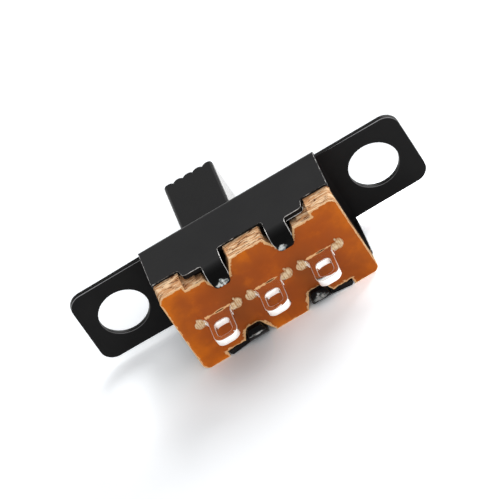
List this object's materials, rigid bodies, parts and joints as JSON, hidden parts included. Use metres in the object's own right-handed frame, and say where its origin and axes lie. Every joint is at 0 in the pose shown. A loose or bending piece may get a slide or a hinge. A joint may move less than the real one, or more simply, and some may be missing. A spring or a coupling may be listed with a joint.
{
  "type": "miniature slide switch",
  "caption": "Miniature slide switch: black folded steel case with ear holes, ridged knob, laminated terminal board and solder lugs with eyelets.",
  "frame": {"origin": "midway between the two ear holes, on the knob-side face that meets the panel", "axes": "+X along the ears, +Y out of the knob side, +Z across the case; the switch lies on its lower side wall, the one facing -Z"},
  "size_m": [0.0196, 0.012, 0.0054],
  "materials": {
    "case_black": "satin black coating over sheet steel, bright on sheared edges",
    "knob_black": "fine matte moulded plastic",
    "spring_bronze": "bright spring bronze strip",
    "laminate_brown": "brown phenolic paper laminate, semi-gloss face, raw tan edges",
    "silver_plate": "silver plated, softly polished"
  },
  "bodies": {
    "case": {"frame": "case_black", "terminal_board": "laminate_brown", "terminal_left": "silver_plate", "terminal_common": "silver_plate", "terminal_right": "silver_plate"},
    "knob": {"slider": "knob_black", "contact_clip": "spring_bronze"}
  },
  "joints": [
    {"name": "slider_slide", "type": "slide", "parent": "case", "child": "knob", "axis": [1, 0, 0], "range_m": [0, 0.0028]}
  ]
}
